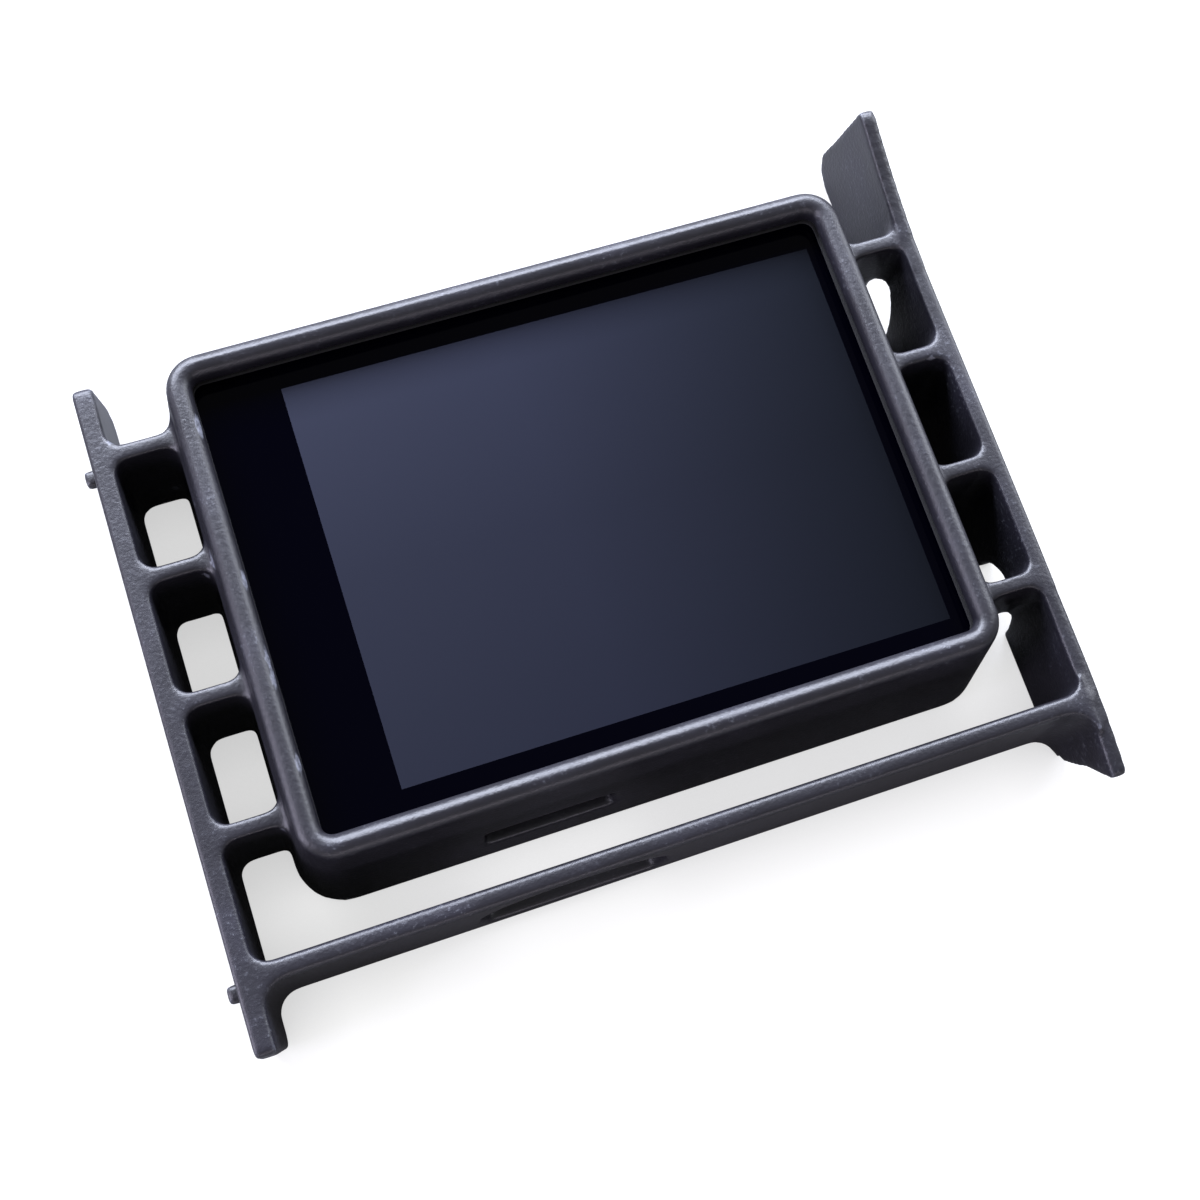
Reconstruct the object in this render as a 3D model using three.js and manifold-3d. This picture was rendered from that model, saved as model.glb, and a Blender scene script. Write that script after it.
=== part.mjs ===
// Vent-fit display head of a radar detector. Millimetres, +Z up (out of the screen), +Y up the screen.
// Modelled about the middle of the lit picture, front face of the side rails at z = 0, then lifted
// so that the whole part stands on z = 0 with its box centred on the origin.
import * as THREE from 'three';
import Module from 'manifold-3d';

const wasm = await Module();
wasm.setup();
const { Manifold } = wasm;

// ---------------------------------------------------------------- driving dimensions
const GAP = 0.3;                       // clearance between neighbouring pieces
const BACK = 14.5;                     // depth of rails, ribs and box behind the front face
const SHIFT = [4.0, 2.5, BACK];        // model frame -> part frame

const BOX = { x0: -39.74, x1: 32.75, y0: -26.55, y1: 26.65, r: 3.6 };  // rim outline
const DRAFT = 1.7;                     // box outline grows by this much at the back
const RIM = { crest: 3.8, shoulder: 2.55, width: 2.5, lip: 1.3 };
const WALL = 1.25;                     // box wall at the front
const COVER_LEDGE = -12.7;             // rear cover sits behind this
const COVER_INSET = 0.3;               // rear cover recess, measured from the rim outline

const RAIL_L = { x0: -48.87, front: 2.15, back: 2.2 };
const RAIL_R = { x1: 40.87, front: 1.75, back: 2.15 };
const RIB_TOP = [20.72, 7.27, -6.07, -19.55];     // upper front edges, pitch 13.4
const RIB_FRONT = 1.65, RIB_BACK = 2.3;
const CELL_R = 1.5;                    // corner radius of the air cells
const BAR = { y0: -34.99, y1: -32.97 };
const FILLET = 2.4;                    // bar to rail, under the bar
const PEG = { out: 1.73, h: 1.85, z0: -9.4, z1: -8.0, y: [21.3, -34.1] };
const PIVOT_NOTCHES = [{ y: 19.0, half: 4.2, deep: 7.0 }, { y: -18.55, half: 3.95, deep: 6.2 }];
const CARD = { x: -15.6, w: 11.0, len: 15.0, t: 0.75, z: -7.8, y0: -26.5 };
const SLOT = { w: 13.6, z0: -9.7, z1: -6.0 };
const BAR_SLOT = { x0: -25.3, x1: -5.5, z0: -12.2, z1: -1.6 };

const LENS = { w: 69.2, h: 50.2, z0: -0.6, z1: 0.4 };
const MID = [(BOX.x0 + BOX.x1) / 2, (BOX.y0 + BOX.y1) / 2];
const LCD = { x0: -34.3, x1: 29.9, y0: -23.0, y1: 23.2, z0: -2.3, z1: -0.9 };
const GUIDE = { x0: -29.5, x1: 29.5, y0: -22.6, y1: 22.8, z0: -3.6, z1: -2.6 };
const TRAY = { x0: -32.0, x1: 30.1, y0: -23.2, y1: 23.4, floor: -4.2, top: -2.6, t: 0.3 };
const BOARD = { x0: -36.5, x1: 30.1, y0: -23.9, y1: 24.1, z0: -6.4, z1: -5.2, notch: 6.3 };
const PARTS_Z = BOARD.z0 - GAP;        // top of everything mounted on the rear of the board
const COVER = { z0: -14.5, z1: -13.0 };
const SCREWS = [[-33.9, 20.6], [-33.9, -20.4], [27.1, 20.6], [27.1, -20.4]];
const CATCHES = [{ x: -20, side: 1 }, { x: 14, side: 1 }, { x: -31, side: -1 }, { x: 14, side: -1 }];
const HEADER = { x: 12.0, y: -10.5, w: 12.5, h: 5.7, z0: -13.9 };
const BUZZER = { x: 17.5, y: 9.0, r: 4.5, h: 4.2 };

// ---------------------------------------------------------------- small geometry kit
const box = (x0, x1, y0, y1, z0, z1) => {
  const g = new THREE.BoxGeometry(x1 - x0, y1 - y0, z1 - z0);
  return g.translate((x0 + x1) / 2, (y0 + y1) / 2, (z0 + z1) / 2);
};
const boxAt = (cx, cy, w, h, z0, z1) => box(cx - w / 2, cx + w / 2, cy - h / 2, cy + h / 2, z0, z1);
const cyl = (x, y, r, z0, z1, n = 24, r2 = r) =>
  new THREE.CylinderGeometry(r2, r, z1 - z0, n).rotateX(Math.PI / 2).translate(x, y, (z0 + z1) / 2);

function mesher(rows, cols, capped) {
  // grid of points rows[i][j] closed round j; capped ends, or closed round i as well
  const pos = rows.flat(2), idx = [], n = cols, m = rows.length;
  const last = capped ? m - 1 : m;
  for (let i = 0; i < last; i++) for (let j = 0; j < n; j++) {
    const a = i * n + j, b = i * n + (j + 1) % n, k = (i + 1) % m;
    const c = k * n + (j + 1) % n, d = k * n + j;
    idx.push(a, b, c, a, c, d);
  }
  if (capped) for (let j = 1; j < n - 1; j++) {
    idx.push(0, j + 1, j);
    const o = (m - 1) * n;
    idx.push(o, o + j, o + j + 1);
  }
  const g = new THREE.BufferGeometry();
  g.setAttribute('position', new THREE.Float32BufferAttribute(pos, 3));
  g.setIndex(idx);
  return g;
}
function rrect(x0, x1, y0, y1, r, n = 5) {
  const out = [], R = Math.max(r, 0.05);
  const corners = [[x1 - R, y1 - R, 0], [x0 + R, y1 - R, 90], [x0 + R, y0 + R, 180], [x1 - R, y0 + R, 270]];
  for (const [cx, cy, a0] of corners) for (let i = 0; i <= n; i++) {
    const a = (a0 + 90 * i / n) * Math.PI / 180;
    out.push([cx + R * Math.cos(a), cy + R * Math.sin(a)]);
  }
  return out;
}
// stack of rounded rectangles [x0,x1,y0,y1,r,z], bottom first
const loft = (levels, n = 5) => {
  const rows = levels.map(([x0, x1, y0, y1, r, z]) => rrect(x0, x1, y0, y1, r, n).map(p => [...p, z]));
  return mesher(rows, 4 * (n + 1), true);
};
// closed profile [inset, z] carried round a rounded rectangle
const frameSweep = (b, profile, n = 9) => {
  const rows = profile.map(([i, z]) =>
    rrect(b.x0 + i, b.x1 - i, b.y0 + i, b.y1 - i, b.r - i, n).map(p => [...p, z]));
  return mesher(rows, 4 * (n + 1), false);
};
// polygon in (y, z) carried along x
function slabYZ(points, x0, x1) {
  const shape = new THREE.Shape(points.map(([y, z]) => new THREE.Vector2(y, z)));
  const g = new THREE.ExtrudeGeometry(shape, { depth: x1 - x0, bevelEnabled: false });
  const m = new THREE.Matrix4().makeBasis(
    new THREE.Vector3(0, 1, 0), new THREE.Vector3(0, 0, 1), new THREE.Vector3(1, 0, 0));
  return g.applyMatrix4(m).translate(x0, 0, 0);
}
function slabXY(points, z0, z1) {
  const shape = new THREE.Shape(points.map(([x, y]) => new THREE.Vector2(x, y)));
  return new THREE.ExtrudeGeometry(shape, { depth: z1 - z0, bevelEnabled: false }).translate(0, 0, z0);
}

// ---------------------------------------------------------------- solids
function solid(g) {
  const plain = g.index ? g.toNonIndexed() : g;
  const p = plain.attributes.position;
  const mesh = new wasm.Mesh({
    numProp: 3,
    vertProperties: new Float32Array(p.array),
    triVerts: Uint32Array.from({ length: p.count }, (_, i) => i),
  });
  mesh.merge();
  const s = new Manifold(mesh);
  if (s.volume() < 0) throw new Error('inside-out solid');
  return s;
}
const asSolid = s => (s instanceof THREE.BufferGeometry ? solid(s) : s);
const join = (...list) => list.flat().map(asSolid).reduce((a, b) => a.add(b));
const cut = (body, ...tools) => tools.flat().map(asSolid).reduce((a, b) => a.subtract(b), asSolid(body));
function geometry(s) {
  const m = s.getMesh();
  const g = new THREE.BufferGeometry();
  const v = m.vertProperties, k = m.numProp, pos = new Float32Array(v.length / k * 3);
  for (let i = 0; i < pos.length / 3; i++) for (let c = 0; c < 3; c++) pos[3 * i + c] = v[k * i + c];
  g.setAttribute('position', new THREE.BufferAttribute(pos, 3));
  g.setIndex(new THREE.BufferAttribute(new Uint32Array(m.triVerts), 1));
  return g;
}

const LOOKS = {
  housing: { color: 0x2b2d35, roughness: 0.55 },
  glass: { color: 0x07080c, roughness: 0.06 },
  panel: { color: 0x1e2230, roughness: 0.2 },
  guide: { color: 0xe8ecef, roughness: 0.3 },
  steel: { color: 0xb9bcc0, roughness: 0.35, metalness: 1 },
  board: { color: 0x0f3d2a, roughness: 0.5 },
  chip: { color: 0x17181a, roughness: 0.5 },
  flex: { color: 0xb06a24, roughness: 0.45 },
  cream: { color: 0xe4ddcb, roughness: 0.5 },
  foam: { color: 0x1a1a1b, roughness: 0.95 },
  gold: { color: 0xcaa14a, roughness: 0.3, metalness: 1 },
  ferrite: { color: 0x3b3a38, roughness: 0.7 },
  card: { color: 0x141416, roughness: 0.4 },
};
const group = new THREE.Group();
group.name = 'radar_detector_vent_display';
function node(name, look, shape) {
  const g = (shape instanceof THREE.BufferGeometry ? shape : geometry(shape)).clone();
  g.translate(...SHIFT);
  const plain = g.index ? g.toNonIndexed() : g;
  plain.deleteAttribute('uv');
  plain.computeVertexNormals();
  const mesh = new THREE.Mesh(plain, new THREE.MeshStandardMaterial(LOOKS[look]));
  mesh.name = name;
  group.add(mesh);
}

// ---------------------------------------------------------------- the vent frame moulding
const outset = z => -DRAFT * (RIM.shoulder - z) / (RIM.shoulder + BACK);   // inset of the outer face at z

function boxShell() {
  const r = RIM.width / 2, arc = [];
  for (let i = 0; i <= 8; i++) {
    const a = Math.PI * (1 - i / 8);
    arc.push([r + r * Math.cos(a), RIM.shoulder + (RIM.crest - RIM.shoulder) * Math.sin(a)]);
  }
  const profile = [
    [outset(-BACK), -BACK], ...arc,
    [RIM.width, RIM.lip], [WALL, RIM.lip], [WALL, COVER_LEDGE],
    [COVER_INSET, COVER_LEDGE], [COVER_INSET, -BACK],
  ];
  return frameSweep(BOX, profile);
}
// side rails in (y, z): both ends lean outwards towards the back at the top
const LEFT_RAIL = [
  [-40.9, 0], [27.2, 0], [27.7, -0.5], [30.0, -10.8], [29.7, -13.6], [28.6, -14.5],
  [-39.3, -14.5], [-40.3, -13.7], [-41.2, -4.0], [-41.3, -0.5],
];
const RIGHT_RAIL = [
  [-42.0, -1.5], [-38.0, -0.85], [-35.0, -0.45], [-30.0, -0.25], [-22.0, -0.1], [-10, 0], [10, 0.05],
  [15.0, 0.15], [18.9, 0.4], [22.5, 0.95], [26.0, 1.6], [29.9, 2.55], [33.0, 3.45], [33.9, 3.2],
  [37.3, -11.3], [36.6, -13.5], [34.6, -14.5],
  [-34.6, -14.5], [-36.6, -13.9], [-38.2, -12.3], [-40.0, -7.2], [-42.3, -2.3],
];
function rail(points, xFront, xBack, xOut) {
  // flat outer face, inner face leaning in by the mould draft
  const side = Math.sign(xFront - xOut);
  const slab = slabYZ(points, Math.min(xOut, xBack), Math.max(xOut, xBack));
  const wedge = slabXZ([[xFront, 6], [xFront, 0], [xBack, -BACK], [xBack, -BACK - 1],
    [xBack + side * 2, -BACK - 1], [xBack + side * 2, 6]], -60, 60);
  return cut(slab, wedge);
}
function slabXZ(points, y0, y1) {
  const shape = new THREE.Shape(points.map(([x, z]) => new THREE.Vector2(x, z)));
  const g = new THREE.ExtrudeGeometry(shape, { depth: y1 - y0, bevelEnabled: false });
  return g.rotateX(Math.PI / 2).translate(0, y1, 0);
}
function airCell(x0, x1, yTop, yBottom) {
  const t = (RIB_BACK - RIB_FRONT) / 2, e = 1.0;
  const grow = k => k * t;              // walls thicken towards the back
  const lvl = (z, k) => [x0 + grow(k), x1 - grow(k), yBottom + grow(k), yTop - grow(k), CELL_R, z];
  return loft([lvl(-BACK - e, 1 + e / BACK), lvl(2, -2 / BACK)]);
}
function sideGrid(side) {
  const left = side < 0;
  const from = left ? RAIL_L.x0 + 1 : BOX.x1 - 0.2;
  const to = left ? BOX.x0 + 0.2 : RAIL_R.x1 - 1;
  const slab = box(from, to, RIB_TOP[3] - RIB_FRONT, RIB_TOP[0], -BACK, 0);
  const cx0 = left ? RAIL_L.x0 + RAIL_L.front : BOX.x1 + 0.55;
  const cx1 = left ? BOX.x0 - 0.55 : RAIL_R.x1 - RAIL_R.front;
  const cells = [0, 1, 2].map(i => airCell(cx0, cx1, RIB_TOP[i] - RIB_FRONT, RIB_TOP[i + 1]));
  return cut(slab, cells);
}
function cornerFill(cx, cy, sx, sy, r) {
  // quarter-round fill in the corner at (cx, cy); the open side lies towards (sx, sy)
  const e = 0.5, pts = [];
  for (let i = 0; i <= 6; i++) {
    const a = Math.PI / 2 * i / 6;
    pts.push([cx + sx * r * (1 - Math.sin(a)), cy + sy * r * (1 - Math.cos(a))]);
  }
  pts.push([cx - sx * e, cy + sy * r], [cx - sx * e, cy - sy * e], [cx + sx * r, cy - sy * e]);
  const turned = THREE.ShapeUtils.area(pts.map(p => new THREE.Vector2(...p))) < 0 ? pts.reverse() : pts;
  return slabXY(turned, -BACK, -0.05);
}
function barSlot() {
  const { x0, x1, z0, z1 } = BAR_SLOT, n = 12, pts = [];
  for (let i = 0; i <= n; i++) {
    const a = Math.PI * i / n, u = Math.cos(a), v = Math.sin(a);
    const x = (x0 + x1) / 2 + (x1 - x0) / 2 * Math.sign(u) * Math.abs(u) ** 0.9;
    pts.push([x, z0 + 2.6 + (z1 - z0 - 2.6) * v ** 0.8]);
  }
  pts.push([x0 + 1.2, z0], [x1 - 1.2, z0]);
  return slabXZ(pts, BAR.y0 - 2, BAR.y1 + 2);
}
function housing() {
  const xl = RAIL_L.x0 + RAIL_L.front, xr = RAIL_R.x1 - RAIL_R.front;
  const bar = slabYZ([[BAR.y0, -BACK], [BAR.y1, -BACK], [BAR.y1, -0.4], [BAR.y1 - 0.4, 0],
    [BAR.y0 + 0.4, 0], [BAR.y0, -0.4]], RAIL_L.x0 + 1, RAIL_R.x1 - 1);
  const rails = [
    rail(LEFT_RAIL, xl, RAIL_L.x0 + RAIL_L.back, RAIL_L.x0),
    rail(RIGHT_RAIL, xr, RAIL_R.x1 - RAIL_R.back, RAIL_R.x1),
  ];
  const fills = [
    cornerFill(xl, BAR.y0, 1, -1, FILLET), cornerFill(xr, BAR.y0, -1, -1, FILLET),
    cornerFill(xl, BAR.y1, 1, 1, CELL_R), cornerFill(xr, BAR.y1, -1, 1, CELL_R),
    cornerFill(xl, RIB_TOP[0], 1, 1, CELL_R), cornerFill(xr, RIB_TOP[0], -1, 1, CELL_R),
    cornerFill(xl, RIB_TOP[3] - RIB_FRONT, 1, -1, CELL_R),
    cornerFill(xr, RIB_TOP[3] - RIB_FRONT, -1, -1, CELL_R),
    cornerFill(BOX.x0 - 0.5, RIB_TOP[0], -1, 1, CELL_R), cornerFill(BOX.x1 + 0.5, RIB_TOP[0], 1, 1, CELL_R),
    cornerFill(BOX.x0 - 0.5, RIB_TOP[3] - RIB_FRONT, -1, -1, CELL_R),
    cornerFill(BOX.x1 + 0.5, RIB_TOP[3] - RIB_FRONT, 1, -1, CELL_R),
  ];
  const pegs = PEG.y.flatMap(y => [
    box(RAIL_L.x0 - PEG.out, RAIL_L.x0 + 0.5, y - PEG.h / 2, y + PEG.h / 2, PEG.z0, PEG.z1),
    box(RAIL_R.x1 - 0.5, RAIL_R.x1 + PEG.out, y - PEG.h / 2, y + PEG.h / 2, PEG.z0, PEG.z1),
  ]);
  const body = join(boxShell(), sideGrid(-1), sideGrid(1), fills, bar, rails, pegs);
  const notches = PIVOT_NOTCHES.map(({ y, half, deep }) =>
    solid(new THREE.CylinderGeometry(1, 1, 4.5, 28).rotateZ(Math.PI / 2).scale(1, half, deep)
      .translate(RAIL_R.x1 - 1.4, y, -BACK)));
  const slot = boxAt(CARD.x, BOX.y0 - 1, SLOT.w, 6, SLOT.z0, SLOT.z1);
  return cut(body, notches, slot, barSlot(), CATCHES.map(c => catchBlock(c, GAP)));
}

// snap catches between the inner frame and the moulding; grow makes the pocket
function catchBlock({ x, side }, grow) {
  const wall = side > 0 ? BOX.y1 - WALL : BOX.y0 + WALL;
  const lo = wall - 0.9, hi = wall + 0.45 + grow;
  const [y0, y1] = side > 0 ? [lo, hi] : [2 * wall - hi, 2 * wall - lo];
  return box(x - 3 - grow, x + 3 + grow, y0, y1, -10 - grow, -8.5 + grow);
}

// ---------------------------------------------------------------- display stack
function lensGasket() {
  const z0 = LENS.z1 + 0.25, z1 = RIM.lip - 0.25;
  const outer = loft([[...around(69.0, 50.0), 2.0, z0], [...around(69.0, 50.0), 2.0, z1]]);
  const hole = loft([[...around(67.5, 48.3), 1.2, z0 - 1], [...around(67.5, 48.3), 1.2, z1 + 1]]);
  return cut(outer, hole);
}
const around = (w, h) => [MID[0] - w / 2, MID[0] + w / 2, MID[1] - h / 2, MID[1] + h / 2];
const coverLens = () => loft([
  [...around(LENS.w - 0.3, LENS.h - 0.3), 1.8, LENS.z0], [...around(LENS.w, LENS.h), 2.0, LENS.z0 + 0.15],
  [...around(LENS.w, LENS.h), 2.0, LENS.z1 - 0.15], [...around(LENS.w - 0.3, LENS.h - 0.3), 1.8, LENS.z1],
]);
const lcdPanel = () => box(LCD.x0, LCD.x1, LCD.y0, LCD.y1, LCD.z0, LCD.z1);
const lightGuide = () => box(GUIDE.x0, GUIDE.x1, GUIDE.y0, GUIDE.y1, GUIDE.z0, GUIDE.z1);
function metalTray() {
  const { x0, x1, y0, y1, floor, top, t } = TRAY;
  return cut(box(x0, x1, y0, y1, floor, top), box(x0 + t, x1 - t, y0 + t, y1 - t, floor + t, top + 1));
}
// flat ribbon from the panel ledge, round the edge of the board to its rear
function ribbon() {
  const t = 0.25, top = LCD.z0 - GAP, low = PARTS_Z - 1.2;
  const pts = [[-32.6, top], [-36.1, top], [-37.0, top - 0.6], [-37.25, top - 1.6], [-37.25, low + 0.9],
    [-36.9, low + 0.25], [-36.2, low], [-32.2, low]];
  const inner = pts.map(([x, z], i) => {
    const [a, b] = [pts[Math.max(i - 1, 0)], pts[Math.min(i + 1, pts.length - 1)]];
    const dx = b[0] - a[0], dz = b[1] - a[1], L = Math.hypot(dx, dz);
    return [x + dz / L * -t, z + dx / L * t];
  });
  return slabXZ([...pts, ...inner.reverse()], -8, 8);
}
const ledStrip = () => join(box(-31.4, -30.9, -20, 20.2, -3.6, -2.7),
  [-15, -9, -3, 3, 9, 15].map(y => boxAt(-30.5, y, 1.1, 3, -3.5, -2.8)));
const foam = (x, w) => boxAt(x, MID[1], w, 38, -4.9, -4.5);

// ---------------------------------------------------------------- inner frame
function innerFrame() {
  const i = WALL + GAP;
  const o = { x0: BOX.x0 + i, x1: BOX.x1 - i, y0: BOX.y0 + i, y1: BOX.y1 - i };
  const outer = loft([[o.x0, o.x1, o.y0, o.y1, 2, -12.4], [o.x0, o.x1, o.y0, o.y1, 2, LENS.z0 - GAP]]);
  const upper = box(-36.0, 30.4, -23.5, 23.7, -4.9, 1);
  const lower = box(-37.6, 30.4, -24.2, 24.4, -14, -4.9);
  const ring = cut(outer, upper, lower);
  const posts = SCREWS.map(([x, y]) => cyl(x, y, 2.5, -12.4, -4.7, 24));
  const gussets = SCREWS.map(([x, y]) => {
    const [y0, y1] = y < 0 ? [o.y0 + 0.3, y] : [y, o.y1 - 0.3];
    return box(x - 1.2, x + 1.2, y0, y1, -12.4, -4.7);
  });
  const holes = SCREWS.map(([x, y]) => cyl(x, y, 1.3, -13, -7.0, 16));
  const slot = boxAt(CARD.x, o.y0, SLOT.w + 1.6, 6, SLOT.z0 - 0.3, PARTS_Z + 0.4);
  const ribbonPass = box(-37.65, -35.9, -8.6, 8.6, -13, 1);
  return cut(join(cut(ring, ribbonPass), posts, gussets, CATCHES.map(c => catchBlock(c, 0))), holes, slot);
}

// ---------------------------------------------------------------- main board and its parts
function board() {
  const { x0, x1, y0, y1, z0, z1, notch } = BOARD;
  const corners = [[x0, y0], [x1, y0], [x0, y1], [x1, y1]]
    .map(([x, y]) => boxAt(x, y, 2 * notch, 2 * notch, z0 - 1, z1 + 1));
  return cut(box(x0, x1, y0, y1, z0, z1), corners);
}
const onBoard = (x, y, w, h, t) => boxAt(x, y, w, h, PARTS_Z - t, PARTS_Z);
function chip(x, y, w, h, t) {
  // body with a thin row of leads down two sides, one piece
  const leads = [];
  for (let i = -4; i <= 4; i++)
    leads.push(boxAt(x, y + i * h / 10, w + 1.6, h / 22, PARTS_Z - 0.35, PARTS_Z));
  return join(onBoard(x, y, w, h, t), leads);
}
const inductor = () =>
  join(onBoard(-2, 12, 6.2, 6.2, 0.5), cyl(-2, 12, 2.9, PARTS_Z - 3.2, PARTS_Z - 0.4, 24));
const capacitor = (x, y) =>
  join(onBoard(x, y, 5.3, 5.3, 0.8), cyl(x, y, 2.45, PARTS_Z - 5.2, PARTS_Z - 0.7, 24));
function buzzer() {
  const { x, y, r, h } = BUZZER;
  return cut(cyl(x, y, r, PARTS_Z - h, PARTS_Z, 32), cyl(x, y, 0.9, PARTS_Z - h - 1, PARTS_Z - h + 0.8, 16));
}
function header() {
  const { x, y, w, h, z0 } = HEADER;
  return cut(boxAt(x, y, w, h, z0, PARTS_Z), boxAt(x, y, w - 1.6, h - 1.6, z0 - 1, z0 + 5.2),
    boxAt(x, y + h / 2, 3, 3, z0 - 1, z0 + 3));
}
function headerPins() {
  const { x, y, z0 } = HEADER;
  return [-2, -1, 0, 1, 2].map(i => boxAt(x + i * 2, y, 0.64, 0.64, z0 + 1.0, z0 + 4.9));
}

// ---------------------------------------------------------------- memory card socket
const SOCK = { x0: CARD.x - 7.2, x1: CARD.x + 7.2, y0: -23.6, y1: -4.9 };
function socketShell() {
  // folded sheet over the base: open towards the slot and towards the board
  const t = 0.2, { x0, x1, y0, y1 } = SOCK, z0 = -9.2, z1 = PARTS_Z - 0.1;
  return cut(box(x0, x1, y0, y1, z0, z1), box(x0 + t, x1 - t, y0 - 1, y1 - t, z0 + t, z1 + 1),
    box(CARD.x - 2, CARD.x + 2, y0 + 4, y0 + 7, z0 - 1, z0 + 1));
}
function socketBase() {
  const x0 = SOCK.x0 + 0.5, x1 = SOCK.x1 - 0.5, y1 = SOCK.y1 - 0.5;
  const plate = box(x0, x1, SOCK.y0 + 0.2, y1, -7.0, PARTS_Z);
  const back = box(x0, x1, y1 - 0.9, y1, -8.7, -6.9);
  return join(plate, back);
}
const cardSolid = () => {
  const { x, w, len, t, z, y0 } = CARD, h = w / 2;
  const outline = [[x - h, y0], [x + h, y0], [x + h, y0 + len - 4.6], [x + h - 0.7, y0 + len - 3.9],
    [x + h - 0.7, y0 + len], [x - h, y0 + len]];
  const grip = box(x - h + 0.4, x + h - 0.4, y0, y0 + 0.9, z - t / 2 - 0.2, z);
  return join(slabXY(outline, z - t / 2, z + t / 2), grip);
};
function ejectSlider() {
  const x = CARD.x - 5.85, z0 = -8.6, z1 = -7.4;
  return join(box(x - 0.6, x, -21.0, -9.9, z0, z1), box(x - 0.6, CARD.x - 2, -10.5, -9.9, z0, z1));
}

class Coil extends THREE.Curve {
  getPoint(t, out = new THREE.Vector3()) {
    const a = t * 6 * 2 * Math.PI;
    return out.set(CARD.x - 4.2 + 0.42 * Math.cos(a), -8.75 + 2.0 * t, -8.0 + 0.42 * Math.sin(a));
  }
}
function ejectSpring() {
  const wire = new THREE.Shape(Array.from({ length: 6 }, (_, i) =>
    new THREE.Vector2(0.1 * Math.cos(i * Math.PI / 3), 0.1 * Math.sin(i * Math.PI / 3))));
  return new THREE.ExtrudeGeometry(wire, { steps: 72, extrudePath: new Coil(), bevelEnabled: false });
}

// ---------------------------------------------------------------- rear cover
function rearCover() {
  const i = COVER_INSET + GAP;
  const plate = loft([
    [BOX.x0 + i + 0.3, BOX.x1 - i - 0.3, BOX.y0 + i + 0.3, BOX.y1 - i - 0.3, 2.7, COVER.z0],
    [BOX.x0 + i, BOX.x1 - i, BOX.y0 + i, BOX.y1 - i, 3.0, COVER.z0 + 0.3],
    [BOX.x0 + i, BOX.x1 - i, BOX.y0 + i, BOX.y1 - i, 3.0, COVER.z1],
  ]);
  const sinks = SCREWS.flatMap(([x, y]) =>
    [cyl(x, y, 2.9, -15, -13.2, 24, 1.25), cyl(x, y, 1.25, -15, -12, 24)]);
  const { x, y, w, h } = HEADER;
  const port = boxAt(x, y, w + 2 * GAP, h + 2 * GAP, -16, -12);
  const sound = [[0, 0], [1.9, 0], [-1.9, 0], [0, 1.9], [0, -1.9]]
    .map(([u, v]) => cyl(BUZZER.x + u, BUZZER.y + v, 0.6, -16, -12, 12));
  const vents = [0, 1, 2, 3, 4].map(k => boxAt(-14 + k * 2.6, 11, 1.1, 9, -16, -12));
  return cut(plate, sinks, port, sound, vents);
}
function coverScrews() {
  return SCREWS.map(([x, y]) => cut(
    join(cyl(x, y, 2.1, -14.35, -13.3, 24, 0.95), cyl(x, y, 0.95, -13.35, -8.2, 24)),
    boxAt(x, y, 2.0, 0.45, -15, -13.85), boxAt(x, y, 0.45, 2.0, -15, -13.85)));
}

// ---------------------------------------------------------------- assembly
node('vent_frame_housing', 'housing', housing());
node('lens_gasket', 'foam', lensGasket());
node('cover_lens', 'glass', coverLens());
node('lcd_panel', 'panel', lcdPanel());
node('light_guide', 'guide', lightGuide());
node('backlight_led_strip', 'cream', ledStrip());
node('display_metal_tray', 'steel', metalTray());
node('foam_pad_left', 'foam', foam(-20, 6));
node('foam_pad_right', 'foam', foam(18, 6));
node('inner_frame', 'housing', innerFrame());
node('main_board', 'board', board());
node('display_ribbon', 'flex', ribbon());
node('ribbon_connector', 'cream', cut(boxAt(-31.9, 0, 3.8, 18.5, PARTS_Z - 1.9, PARTS_Z),
  box(-34, -31.8, -8.3, 8.3, PARTS_Z - 1.5, PARTS_Z - 0.65)));
node('controller_chip', 'chip', chip(-12, 9, 10, 10, 1.3));
node('memory_chip', 'chip', chip(4, 3, 5.2, 5.4, 0.9));
node('crystal_can', 'steel', onBoard(-1, -3, 3.2, 2.5, 0.8));
node('power_inductor', 'ferrite', inductor());
node('capacitor_left', 'steel', capacitor(5.5, 14.5));
node('capacitor_right', 'steel', capacitor(24, -3));
node('alert_buzzer', 'chip', buzzer());
node('wiring_header', 'cream', header());
headerPins().forEach((g, i) => node(`header_pin_${i + 1}`, 'gold', g));
node('card_socket_base', 'chip', socketBase());
node('card_socket_shell', 'steel', socketShell());
node('card_eject_slider', 'cream', ejectSlider());
node('card_eject_spring', 'steel', ejectSpring());
node('memory_card', 'card', cardSolid());
node('rear_cover', 'housing', rearCover());
coverScrews().forEach((s, i) => node(`cover_screw_${i + 1}`, 'steel', s));

export default group;
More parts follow.
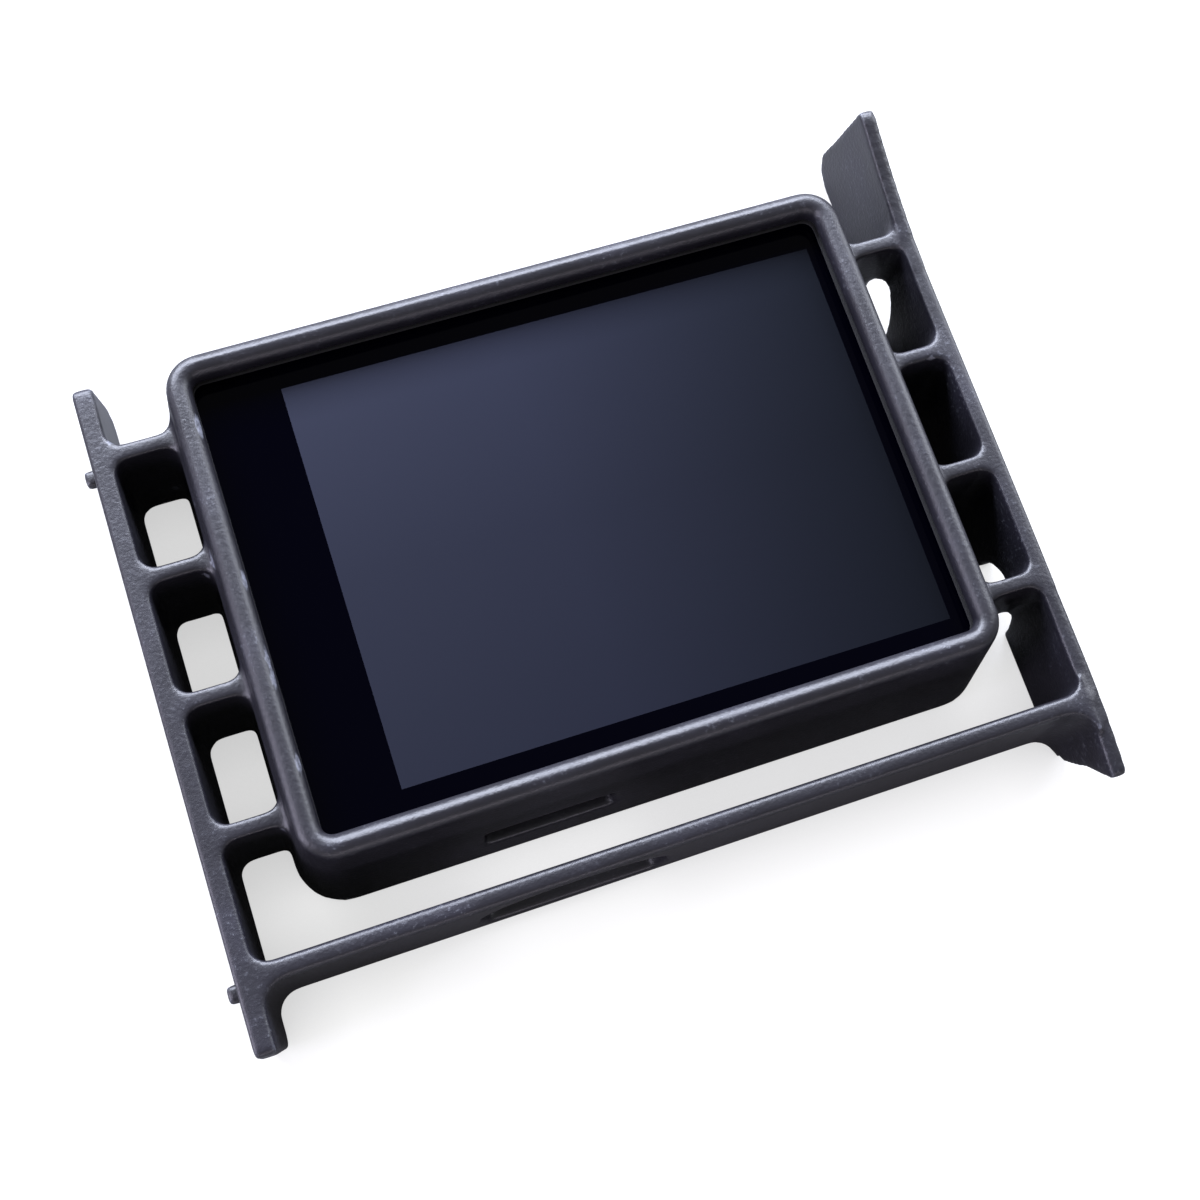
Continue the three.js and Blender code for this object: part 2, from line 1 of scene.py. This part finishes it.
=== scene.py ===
# Display head of a vent-fit radar detector: satin moulded frame, black-edged screen glass,
# memory card, rear cover with screws and wiring socket.
import math
import bpy
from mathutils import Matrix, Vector


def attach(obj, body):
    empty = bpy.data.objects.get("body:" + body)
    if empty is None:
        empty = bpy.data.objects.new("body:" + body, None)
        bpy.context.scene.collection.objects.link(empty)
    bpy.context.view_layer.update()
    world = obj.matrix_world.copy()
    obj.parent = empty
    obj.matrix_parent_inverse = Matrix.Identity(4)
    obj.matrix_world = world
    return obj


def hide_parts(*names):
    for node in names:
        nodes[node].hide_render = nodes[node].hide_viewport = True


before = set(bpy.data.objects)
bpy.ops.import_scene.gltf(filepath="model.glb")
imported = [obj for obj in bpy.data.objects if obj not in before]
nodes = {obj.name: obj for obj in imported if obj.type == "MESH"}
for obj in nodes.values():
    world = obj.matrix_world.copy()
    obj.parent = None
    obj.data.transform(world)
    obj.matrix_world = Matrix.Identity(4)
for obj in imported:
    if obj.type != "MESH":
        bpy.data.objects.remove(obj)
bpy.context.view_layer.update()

MM = 0.001
ORIGIN = Vector((4.0, 2.5, 14.5)) * MM      # middle of the lit picture, at the front of the rails
LIT_HALF = (28.8, 21.6)                     # half of the lit picture, mm
LIT_OFFSET = Vector((-0.07, -0.12, 0.0)) * MM   # the panel sits slightly off the middle of its frame
LIT_TURN = -0.006                           # and a third of a degree askew, in radians
MERGE = 1e-6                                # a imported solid's triangles share corners this close, m


# ------------------------------------------------------------------ small helpers
def hex_rgb(code):
    """sRGB hex to linear colour."""
    parts = [int(code[i:i + 2], 16) / 255 for i in (1, 3, 5)]
    return tuple(c / 12.92 if c <= 0.04045 else ((c + 0.055) / 1.055) ** 2.4 for c in parts) + (1.0,)


def only(obj):
    bpy.ops.object.select_all(action="DESELECT")
    obj.select_set(True)
    bpy.context.view_layer.objects.active = obj


def apply_modifier(obj, kind, **settings):
    only(obj)
    mod = obj.modifiers.new(kind.lower(), kind)
    for key, value in settings.items():
        setattr(mod, key, value)
    bpy.ops.object.modifier_apply(modifier=mod.name)


def copy_of(node, name):
    """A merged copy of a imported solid, to be softened into the finished moulding."""
    source = nodes[node]
    piece = source.copy()
    piece.data = source.data.copy()
    piece.name = name
    piece.data.name = name
    bpy.context.scene.collection.objects.link(piece)
    only(piece)
    bpy.ops.object.mode_set(mode="EDIT")
    bpy.ops.mesh.select_all(action="SELECT")
    bpy.ops.mesh.remove_doubles(threshold=MERGE)
    bpy.ops.object.mode_set(mode="OBJECT")
    return piece


def finish_piece(piece, body, slot, material, *replaced):
    piece.data.materials.clear()
    piece.data.materials.append(material)
    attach(piece, body)
    if replaced:
        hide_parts(*replaced)


# ------------------------------------------------------------------ materials
FLOW_MM = 9.0         # size of the slow drift that the plastic's flow leaves
FLECK_AND_GLINT_MM = 0.45         # size of one small pale fleck: partly abrasion from hands, partly a painted glint
PIT_DEPTH_MM = 0.07   # relief of the moulded grain
SMEAR_MM = 14.0       # size of a faint smear on the cover glass
# colour of the pale flecks: partly abrasion, partly painted glints
FLECK_AND_GLINT_COLOUR = "#8d9098"
# colour of the paler convex edges: partly abrasion, partly a painted edge highlight
WORN_AND_HIGHLIT_EDGE_COLOUR = "#70727c"


def new_material(name):
    mat = bpy.data.materials.new(name)
    mat.use_nodes = True
    tree = mat.node_tree
    return mat, tree, tree.nodes["Principled BSDF"]


def add_node(tree, kind, links=(), **settings):
    """Adds one node; settings name its properties or its input sockets, links feed its inputs."""
    node = tree.nodes.new(kind)
    for key, value in settings.items():
        if hasattr(node, key):
            setattr(node, key, value)
        else:
            node.inputs[key.replace("_", " ")].default_value = value
    for socket, source in links:
        tree.links.new(source, node.inputs[socket])
    return node


def ramp(tree, source, stops):
    node = add_node(tree, "ShaderNodeValToRGB", [("Fac", source)])
    elements = node.color_ramp.elements
    while len(elements) < len(stops):
        elements.new(0.5)
    for element, (place, value) in zip(elements, stops):
        element.position = place
        element.color = value if isinstance(value, tuple) else (value, value, value, 1.0)
    return node


def moulded_plastic(name, colour, light, dark, rough, grain_mm=0.45, bump=0.35, fleck_and_glint_amount=0.0, edge_wear_and_highlight=0.0):
    # Polycarbonate blend moulded against a fine spark-eroded face: a satin sheet of tiny pits that spreads
    # highlights, slightly uneven from flow, with small pale flecks, partly abrasion where hands have been,
    # partly painted glints off the grain.
    # The real pits are about 0.1 mm across; grain_mm is coarser so that they show.
    mat, tree, bsdf = new_material(name)
    link = tree.links.new
    place = add_node(tree, "ShaderNodeTexCoord").outputs["Object"]
    grain = add_node(tree, "ShaderNodeTexNoise", [("Vector", place)], Scale=1 / (grain_mm * MM), Detail=3.0,
                     Roughness=0.6)
    flow = add_node(tree, "ShaderNodeTexNoise", [("Vector", place)], Scale=1 / (FLOW_MM * MM), Detail=4.0,
                    Roughness=0.55)
    fleck_and_glint_noise = add_node(tree, "ShaderNodeTexNoise", [("Vector", place)], Scale=1 / (FLECK_AND_GLINT_MM * MM), Detail=5.0,
                    Roughness=0.7)
    shade = ramp(tree, flow.outputs["Fac"], [(0.3, hex_rgb(dark)), (0.55, hex_rgb(colour)),
                                             (0.75, hex_rgb(light))])
    # painted glints: the pale flecks are partly abrasion where hands have been, partly painted glints off
    # the grain
    fleck_and_glint_mask = ramp(tree, fleck_and_glint_noise.outputs["Fac"], [(0.57, 0.0), (0.66, 1.0)])
    fleck_and_glint_share_by_flow = ramp(tree, flow.outputs["Fac"], [(0.45, 0.0), (0.65, fleck_and_glint_amount)])
    flecks_and_glints = add_node(tree, "ShaderNodeMath", [(0, fleck_and_glint_mask.outputs["Color"]), (1, fleck_and_glint_share_by_flow.outputs["Color"])],
                      operation="MULTIPLY")
    tint = add_node(tree, "ShaderNodeMix", [("Factor", flecks_and_glints.outputs[0])], data_type="RGBA")
    link(shade.outputs["Color"], tint.inputs["A"])
    tint.inputs["B"].default_value = hex_rgb(FLECK_AND_GLINT_COLOUR)
    finish = tint.outputs["Result"]
    if edge_wear_and_highlight:
        # convex edges are painted paler, in broken patches: partly abrasion, partly a painted highlight
        # where the edges catch light
        bend = add_node(tree, "ShaderNodeNewGeometry")
        edge = ramp(tree, bend.outputs["Pointiness"], [(0.535, 0.0), (0.60, edge_wear_and_highlight)])
        broken = ramp(tree, fleck_and_glint_noise.outputs["Fac"], [(0.35, 0.15), (0.6, 1.0)])
        amount = add_node(tree, "ShaderNodeMath",
                          [(0, edge.outputs["Color"]), (1, broken.outputs["Color"])],
                          operation="MULTIPLY")
        edge_wear_and_highlight_mix = add_node(tree, "ShaderNodeMix", [("Factor", amount.outputs[0])], data_type="RGBA")
        link(finish, edge_wear_and_highlight_mix.inputs["A"])
        edge_wear_and_highlight_mix.inputs["B"].default_value = hex_rgb(WORN_AND_HIGHLIT_EDGE_COLOUR)
        finish = edge_wear_and_highlight_mix.outputs["Result"]
    link(finish, bsdf.inputs["Base Color"])
    uneven = add_node(tree, "ShaderNodeMapRange", [("Value", flow.outputs["Fac"])], To_Min=rough - 0.06,
                      To_Max=rough + 0.08)
    link(uneven.outputs[0], bsdf.inputs["Roughness"])
    relief = add_node(tree, "ShaderNodeBump", [("Height", grain.outputs["Fac"])], Strength=bump,
                      Distance=PIT_DEPTH_MM * MM)
    link(relief.outputs[0], bsdf.inputs["Normal"])
    bsdf.inputs["IOR"].default_value = 1.5
    return mat


def plain_finish(name, colour, rough, metal=0.0, grain_mm=0.5, vary=0.12, bump=0.1, ior=1.5, coat=0.0):
    # A small part's finish: one colour that drifts slightly, with the fine unevenness of how it was made.
    mat, tree, bsdf = new_material(name)
    place = add_node(tree, "ShaderNodeTexCoord").outputs["Object"]
    grain = add_node(tree, "ShaderNodeTexNoise", [("Vector", place)], Scale=1 / (grain_mm * MM), Detail=4.0)
    base = hex_rgb(colour)
    low = tuple(c * (1 - vary) for c in base[:3]) + (1.0,)
    high = tuple(min(c * (1 + vary), 1.0) for c in base[:3]) + (1.0,)
    shade = ramp(tree, grain.outputs["Fac"], [(0.35, low), (0.65, high)])
    tree.links.new(shade.outputs["Color"], bsdf.inputs["Base Color"])
    uneven = add_node(tree, "ShaderNodeMapRange", [("Value", grain.outputs["Fac"])],
                      To_Min=max(rough - 0.05, 0.02), To_Max=rough + 0.07)
    tree.links.new(uneven.outputs[0], bsdf.inputs["Roughness"])
    relief = add_node(tree, "ShaderNodeBump", [("Height", grain.outputs["Fac"])], Strength=bump,
                      Distance=0.02 * MM)
    tree.links.new(relief.outputs[0], bsdf.inputs["Normal"])
    bsdf.inputs["Metallic"].default_value = metal
    if not metal:
        bsdf.inputs["IOR"].default_value = ior
    bsdf.inputs["Coat Weight"].default_value = coat
    return mat


def screen_glass():
    # Cover glass bonded to a liquid-crystal panel: a printed border that swallows all light, and a
    # switched-off picture area of deep slate blue, palest at the top from a painted reflection.
    mat, tree, bsdf = new_material("bonded_cover_glass")
    link = tree.links.new
    place = add_node(tree, "ShaderNodeTexCoord").outputs["Object"]
    centred = add_node(tree, "ShaderNodeMapping", [("Vector", place)], vector_type="TEXTURE")
    centred.inputs["Location"].default_value = ORIGIN + LIT_OFFSET
    centred.inputs["Rotation"].default_value = (0.0, 0.0, LIT_TURN)
    centred.inputs["Scale"].default_value = (LIT_HALF[0] * MM, LIT_HALF[1] * MM, 1.0)
    axes = add_node(tree, "ShaderNodeSeparateXYZ", [("Vector", centred.outputs[0])])
    inside = []
    for axis in ("X", "Y"):
        away = add_node(tree, "ShaderNodeMath", [(0, axes.outputs[axis])], operation="ABSOLUTE")
        inside.append(add_node(tree, "ShaderNodeMath", [(0, away.outputs[0])], operation="LESS_THAN"))
        inside[-1].inputs[1].default_value = 1.0
    lit = add_node(tree, "ShaderNodeMath", [(0, inside[0].outputs[0]), (1, inside[1].outputs[0])],
                   operation="MULTIPLY")
    # painted reflection: the picture area is painted brightest at the upper left and top, darkest at the
    # lower right
    across = add_node(tree, "ShaderNodeMapRange", [("Value", axes.outputs["X"])],
                      From_Min=-1.0, From_Max=1.0)
    slate_and_painted_reflection_across = ramp(tree, across.outputs[0], [(0.0, hex_rgb("#242630")), (0.4, hex_rgb("#20222c")),
                                                  (0.8, hex_rgb("#16181f")), (1.0, hex_rgb("#101217"))])
    down = add_node(tree, "ShaderNodeMapRange", [("Value", axes.outputs["Y"])],
                    From_Min=-1.0, From_Max=1.0)
    painted_reflection_down = ramp(tree, down.outputs[0], [(0.0, 0.62), (0.5, 0.72), (1.0, 1.0)])
    # painted reflection: the slate tone is multiplied by a painted brightening towards the top
    film = add_node(tree, "ShaderNodeMix", data_type="RGBA", blend_type="MULTIPLY")
    film.inputs["Factor"].default_value = 1.0
    link(slate_and_painted_reflection_across.outputs["Color"], film.inputs["A"])
    link(painted_reflection_down.outputs["Color"], film.inputs["B"])
    face = add_node(tree, "ShaderNodeMix", [("Factor", lit.outputs[0])], data_type="RGBA")
    face.inputs["A"].default_value = hex_rgb("#000003")
    link(film.outputs["Result"], face.inputs["B"])
    link(face.outputs["Result"], bsdf.inputs["Base Color"])
    smear = add_node(tree, "ShaderNodeTexNoise", [("Vector", place)], Scale=1 / (SMEAR_MM * MM), Detail=3.0)
    polish = add_node(tree, "ShaderNodeMapRange", [("Value", smear.outputs["Fac"])],
                      To_Min=0.04, To_Max=0.12)
    link(polish.outputs[0], bsdf.inputs["Roughness"])
    bsdf.inputs["IOR"].default_value = 1.5
    bsdf.inputs["Specular IOR Level"].default_value = 0.06
    return mat


housing_plastic = moulded_plastic("satin_moulded_polycarbonate", "#15141b", "#1c1b24", "#0f0e14", 0.41,
                                  bump=0.7, fleck_and_glint_amount=0.2, edge_wear_and_highlight=0.8)
cover_plastic = moulded_plastic("satin_moulded_cover", "#15161a", "#1a1b20", "#101114", 0.45, fleck_and_glint_amount=0.2)
inner_plastic = moulded_plastic("moulded_inner_plastic", "#1c1c1e", "#212123", "#171719", 0.5)


# ------------------------------------------------------------------ the vent frame moulding
SKIN_MM = 0.3         # cell of the skin that is drawn over the sharp-edged solid
ROUNDING = 11         # smoothing passes; each one rounds the crests and inner corners a little more
KEPT_FACES = 0.43     # share of the skin's faces that its shape needs


def vent_frame():
    """The one-piece moulding, with the round crests and inner corners that its mould leaves."""
    piece = copy_of("vent_frame_housing", "vent_frame")
    apply_modifier(piece, "REMESH", mode="VOXEL", voxel_size=SKIN_MM * MM)
    apply_modifier(piece, "SMOOTH", factor=0.5, iterations=ROUNDING)
    apply_modifier(piece, "DECIMATE", ratio=KEPT_FACES)
    only(piece)
    bpy.ops.object.shade_smooth()
    finish_piece(piece, "head", "housing", housing_plastic, "vent_frame_housing")


vent_frame()


def bevelled(node, name, body, slot, material, width=0.15, segments=3):
    """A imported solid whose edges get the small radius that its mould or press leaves."""
    piece = copy_of(node, name)
    apply_modifier(piece, "BEVEL", width=width * MM, segments=segments, limit_method="ANGLE",
                   angle_limit=math.radians(35), harden_normals=False)
    only(piece)
    bpy.ops.object.shade_smooth_by_angle(angle=math.radians(40))
    finish_piece(piece, body, slot, material, node)


def paint(material, *names):
    for name in names:
        data = nodes[name].data
        data.materials.clear()
        data.materials.append(material)


cream_nylon = plain_finish("cream_nylon", "#d9d2bf", 0.45, grain_mm=0.8, vary=0.05, bump=0.08)
gold_flash = plain_finish("gold_flashed_contact", "#d8b25c", 0.25, metal=1.0, vary=0.08)
black_zinc = plain_finish("black_zinc_screw", "#3c3d42", 0.35, metal=1.0, grain_mm=0.3, vary=0.2, bump=0.2)
card_plastic = plain_finish("moulded_card_plastic", "#18181b", 0.35, grain_mm=0.4, vary=0.1, bump=0.15)

paint(screen_glass(), "cover_lens")
bevelled("rear_cover", "rear_cover_plate", "head", "housing", cover_plastic, 0.12)
bevelled("wiring_header", "wiring_socket", "head", "cream_plastic", cream_nylon, 0.12)
bevelled("memory_card", "memory_card_body", "card", "card_plastic", card_plastic, 0.08)
for number in range(1, 5):
    bevelled(f"cover_screw_{number}", f"countersunk_screw_{number}", "head", "screw_steel", black_zinc,
             width=0.06, segments=2)
paint(plain_finish("die_cut_adhesive_foam", "#0c0c0d", 0.9, vary=0.2, bump=0.5), "lens_gasket")
paint(plain_finish("lcd_polariser_film", "#1d2130", 0.3, vary=0.05), "lcd_panel")
paint(plain_finish("acrylic_light_guide", "#e4e9ec", 0.2, vary=0.03, ior=1.49), "light_guide")
paint(plain_finish("led_phosphor_strip", "#ece3b4", 0.5, vary=0.06), "backlight_led_strip")
paint(plain_finish("stamped_stainless_tray", "#b9bcc1", 0.32, metal=1.0, grain_mm=1.5),
      "display_metal_tray")
paint(plain_finish("closed_cell_foam", "#141415", 0.95, vary=0.3, bump=0.6),
      "foam_pad_left", "foam_pad_right")
paint(inner_plastic, "inner_frame", "alert_buzzer", "card_socket_base")
paint(plain_finish("green_solder_mask", "#0e4a2c", 0.3, grain_mm=2.0, vary=0.15, coat=0.5), "main_board")
paint(plain_finish("polyimide_ribbon", "#b5671f", 0.35, grain_mm=2.5, vary=0.1), "display_ribbon")
paint(cream_nylon, "ribbon_connector", "card_eject_slider")
paint(plain_finish("moulded_chip_epoxy", "#161617", 0.5, grain_mm=0.25, vary=0.15), "controller_chip",
      "memory_chip")
paint(plain_finish("pressed_ferrite", "#3a3936", 0.75, grain_mm=0.3, vary=0.2, bump=0.4), "power_inductor")
paint(plain_finish("drawn_aluminium_can", "#c9cbd0", 0.3, metal=1.0, vary=0.05), "crystal_can",
      "capacitor_left", "capacitor_right", "card_socket_shell")
paint(plain_finish("drawn_spring_wire", "#a9abb0", 0.25, metal=1.0, vary=0.05), "card_eject_spring")
paint(gold_flash, *[f"header_pin_{n}" for n in range(1, 6)])


# ------------------------------------------------------------------ camera, floor and light
FLOOR_SIZE = 4.0      # m
FLOOR_GLOW = 0.9      # how strongly the pale floor shines to the eye, so that shadows stay faint
GLOW_IN_PAINTED_SHADOW = 0.5    # what is left of the glow in the painted contact shadow where the plastic comes close
PAINTED_SHADOW_REACH_MM = 7     # how far from the plastic the painted contact shadow reaches
SKY_STRENGTH = 0.32


def set_stage():
    scene = bpy.context.scene
    scene.view_settings.view_transform = "Standard"
    eye = bpy.data.cameras.new("eye")
    eye.lens, eye.sensor_width = 54.0, 36.0
    eye.shift_x, eye.shift_y = -0.05664, -0.01237
    eye.clip_start = 0.005
    camera = bpy.data.objects.new("eye", eye)
    camera.location = (-0.026988, -0.051069, 0.187645)
    camera.rotation_euler = [math.radians(a) for a in (16.7168, -5.636, -19.1285)]
    scene.collection.objects.link(camera)
    scene.camera = camera

    bpy.ops.mesh.primitive_plane_add(size=FLOOR_SIZE)
    floor = bpy.context.object
    floor.name = "floor"
    paper, tree, bsdf = new_material("white_paper_sweep")
    bsdf.inputs["Base Color"].default_value = hex_rgb("#7c7c7c")
    bsdf.inputs["Roughness"].default_value = 0.9
    bsdf.inputs["Emission Color"].default_value = hex_rgb("#ffffff")
    # the glow whitens the floor as it is seen, and is dimmed where the plastic comes close to it, a painted
    # contact shadow; it sends no light onto the plastic
    painted_shadow_occlusion = add_node(tree, "ShaderNodeAmbientOcclusion", samples=8)
    painted_shadow_occlusion.inputs["Distance"].default_value = PAINTED_SHADOW_REACH_MM * MM
    glow_with_painted_shadow = add_node(tree, "ShaderNodeMapRange", [("Value", painted_shadow_occlusion.outputs["AO"])],
                    To_Min=GLOW_IN_PAINTED_SHADOW, To_Max=FLOOR_GLOW)
    seen = add_node(tree, "ShaderNodeLightPath").outputs["Is Camera Ray"]
    glow = add_node(tree, "ShaderNodeMath", [(0, seen), (1, glow_with_painted_shadow.outputs[0])], operation="MULTIPLY")
    tree.links.new(glow.outputs[0], bsdf.inputs["Emission Strength"])
    floor.data.materials.append(paper)

    world = bpy.data.worlds.new("studio")
    scene.world = world
    world.use_nodes = True
    back = world.node_tree.nodes["Background"]
    back.inputs["Color"].default_value = hex_rgb("#ffffff")
    back.inputs["Strength"].default_value = SKY_STRENGTH


def soft_box(name, place, aim, size, power, colour="#ffffff"):
    light = bpy.data.lights.new(name, "AREA")
    light.shape = "RECTANGLE"
    light.size, light.size_y = size
    light.energy = power
    light.color = hex_rgb(colour)[:3]
    lamp = bpy.data.objects.new(name, light)
    lamp.location = place
    lamp.rotation_euler = (Vector(aim) - Vector(place)).to_track_quat("-Z", "Y").to_euler()
    bpy.context.scene.collection.objects.link(lamp)


set_stage()
soft_box("back_soft_box", (0.0, 0.47, 0.34), (0, 0, 0), (0.9, 0.24), 22.0, "#e6ecff")
soft_box("right_soft_box", (0.52, 0.16, 0.27), (0, 0, 0), (0.15, 0.4), 2.7, "#eef3ff")
soft_box("front_strip", (-0.05, -0.60, 0.16), (0, 0, 0), (0.8, 0.10), 1.3, "#f4ecff")
soft_box("left_soft_box", (-0.50, -0.02, 0.22), (0, 0, 0), (0.2, 0.5), 2.9, "#ebe6ff")
